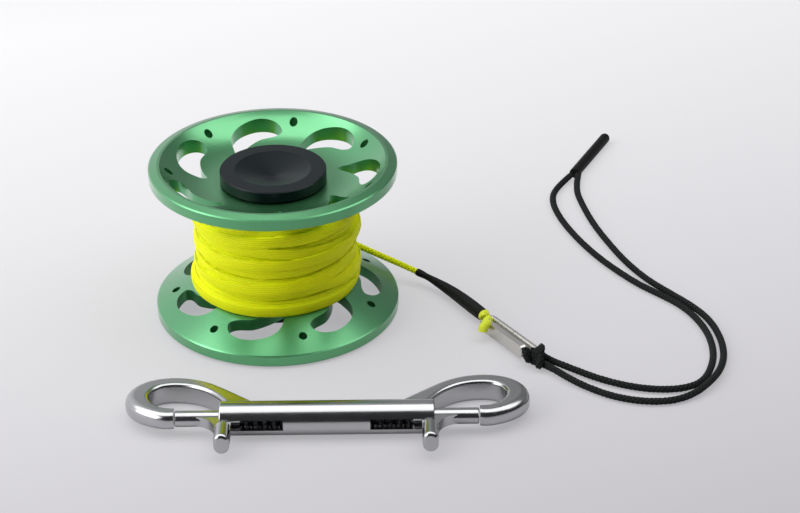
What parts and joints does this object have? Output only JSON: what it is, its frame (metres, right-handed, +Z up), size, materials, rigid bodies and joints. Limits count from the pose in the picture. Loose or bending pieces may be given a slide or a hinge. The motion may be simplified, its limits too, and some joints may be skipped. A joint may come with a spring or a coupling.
{
  "type": "finger line spool",
  "caption": "Hand-held finger spool: dished flanges with swirled cut-outs, wound line, thumb grip that turns freely, lanyard and double-ended bolt snap.",
  "frame": {"origin": "on the spool's axis, in the plane that the lower flange rests on", "axes": "+Z up along the spool's axis; -Y towards the side seen in the picture, where the snap lies along X"},
  "size_m": [0.1748, 0.1957, 0.05],
  "materials": {
    "green_anodised": "anodised, fine turning marks",
    "turned_aluminium": "machined",
    "black_acetal": "turned, matte",
    "bearing_plastic": "smooth",
    "yellow_line": "flat braid",
    "black_sleeve": "matte shrink sleeve",
    "black_cord": "braid",
    "polished_steel": "polished",
    "link_steel": "satin",
    "fastener_steel": "satin"
  },
  "bodies": {
    "spool": {"lower_flange": "green_anodised", "upper_flange": "green_anodised", "hub": "turned_aluminium", "upper_flange_screws": "fastener_steel", "lower_flange_screws": "fastener_steel", "upper_bush": "bearing_plastic", "lower_bush": "bearing_plastic", "line_winding": "yellow_line", "free_line": "yellow_line", "line_sleeve": "black_sleeve", "line_hitch": "yellow_line", "link": "link_steel", "lanyard_knot": "black_cord", "lanyard_outer": "black_cord", "lanyard_inner": "black_cord", "lanyard_tip": "black_sleeve"},
    "thumb_grip": {"spindle": "fastener_steel", "upper_thumb_pad": "black_acetal", "lower_thumb_pad": "black_acetal", "upper_thrust_washer": "bearing_plastic", "lower_thrust_washer": "bearing_plastic"},
    "snap": {"snap_body": "polished_steel", "left_spring": "fastener_steel", "right_spring": "fastener_steel"},
    "left_bolt": {"left_bolt": "polished_steel"},
    "right_bolt": {"right_bolt": "polished_steel"}
  },
  "joints": [
    {"name": "grip_spin", "type": "hinge", "parent": "spool", "child": "thumb_grip", "pos_m": [0, 0, 0.025], "axis": [0, 0, 1], "continuous": true},
    {"name": "snap_lift", "type": "slide", "parent": "spool", "child": "snap", "axis": [0, 0, 1], "range_m": [0, 0.15]},
    {"name": "left_bolt_slide", "type": "slide", "parent": "snap", "child": "left_bolt", "axis": [1, 0, 0], "range_m": [0, 0.0142], "stiffness_N_per_m": 150, "springref_m": -0.006, "deforming": ["left_spring"]},
    {"name": "right_bolt_slide", "type": "slide", "parent": "snap", "child": "right_bolt", "axis": [-1, 0, 0], "range_m": [0, 0.0142], "stiffness_N_per_m": 150, "springref_m": -0.006, "deforming": ["right_spring"]}
  ]
}
